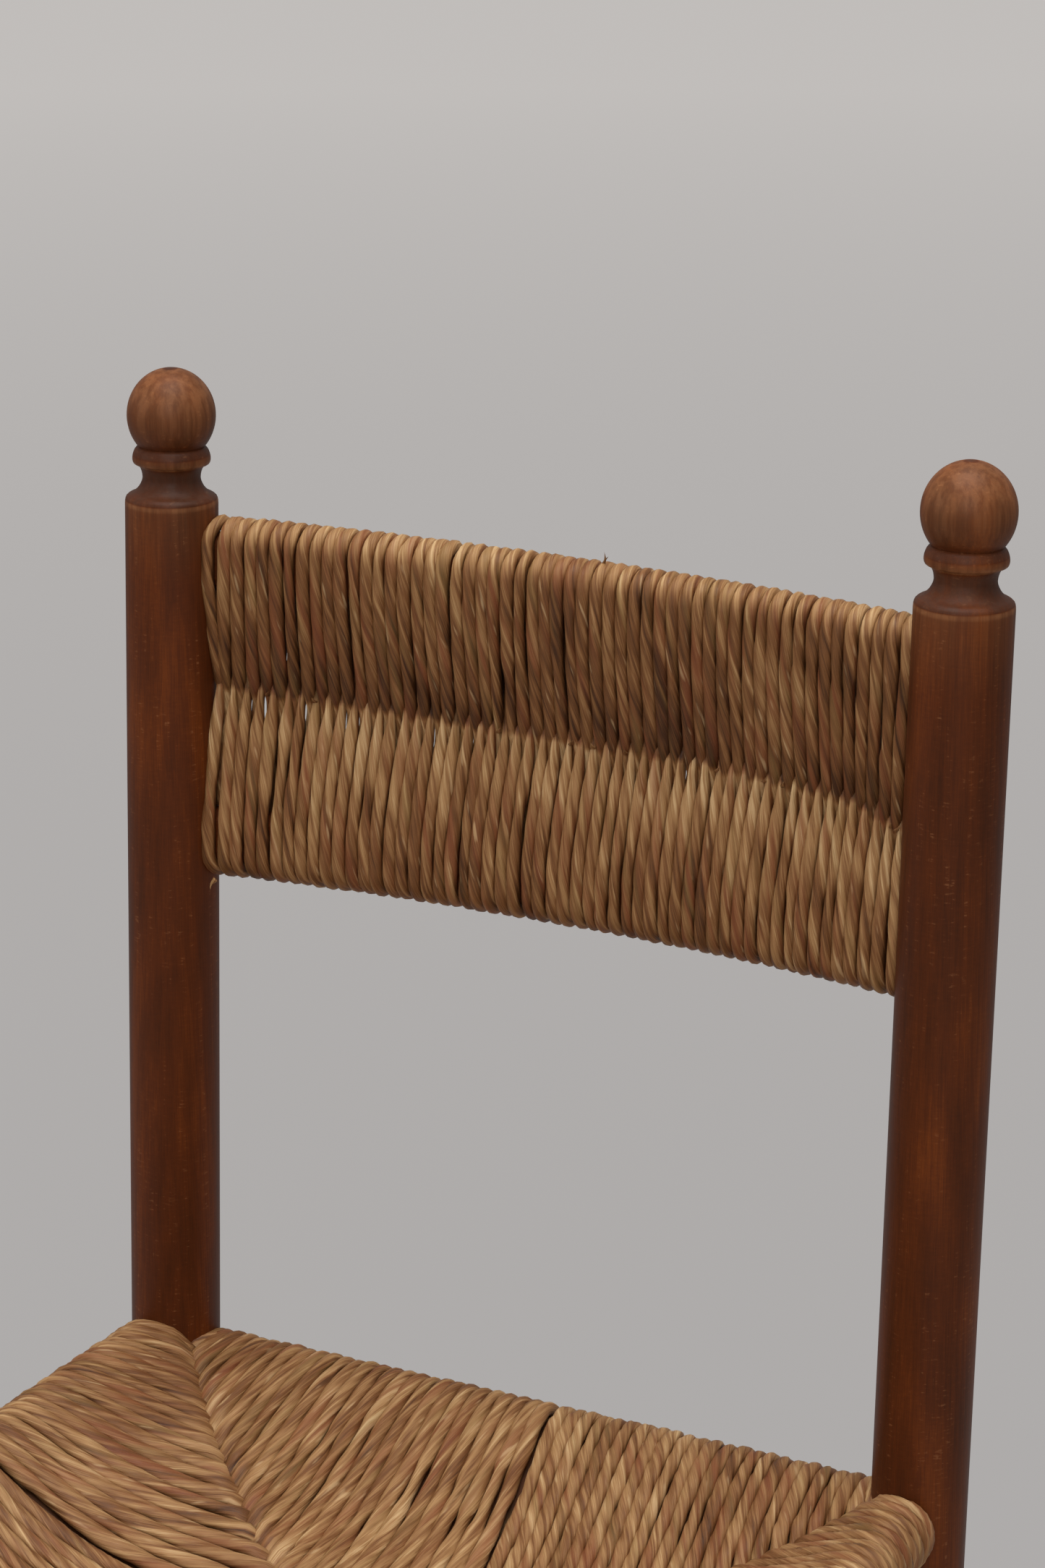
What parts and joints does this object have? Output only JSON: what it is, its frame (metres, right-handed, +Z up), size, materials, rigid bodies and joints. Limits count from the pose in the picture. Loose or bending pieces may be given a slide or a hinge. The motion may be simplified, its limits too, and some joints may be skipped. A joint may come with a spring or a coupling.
{
  "type": "rush-seated side chair",
  "caption": "Turned beech side chair with raked posts, ball finials, a dished rush seat in mitred sections and a bowed back wound with rush.",
  "frame": {"origin": "centre of the footprint's bounding box, on the floor", "axes": "+Z up, the front of the chair towards -Y, the viewer's right from the front is +X"},
  "size_m": [0.408, 0.4066, 0.855],
  "materials": {
    "turned_beech": "red-brown stain under satin lacquer",
    "plain_beech": "bare to lightly stained wood under the rush",
    "back_rush": "twisted dry rush, matt",
    "seat_rush": "twisted dry rush, matt"
  },
  "bodies": {
    "root": {"left_back_post": "turned_beech", "right_back_post": "turned_beech", "left_front_leg": "turned_beech", "right_front_leg": "turned_beech", "back_stretcher": "turned_beech", "upper_front_stretcher": "turned_beech", "lower_front_stretcher": "turned_beech", "left_upper_stretcher": "turned_beech", "left_lower_stretcher": "turned_beech", "right_upper_stretcher": "turned_beech", "right_lower_stretcher": "turned_beech", "back_seat_rail": "plain_beech", "front_seat_rail": "plain_beech", "left_seat_rail": "plain_beech", "right_seat_rail": "plain_beech", "upper_back_slat": "plain_beech", "lower_back_slat": "plain_beech", "back_panel_rush": "back_rush", "seat_rush_back": "seat_rush", "seat_rush_front": "seat_rush", "seat_rush_left": "seat_rush", "seat_rush_right": "seat_rush"}
  },
  "joints": []
}
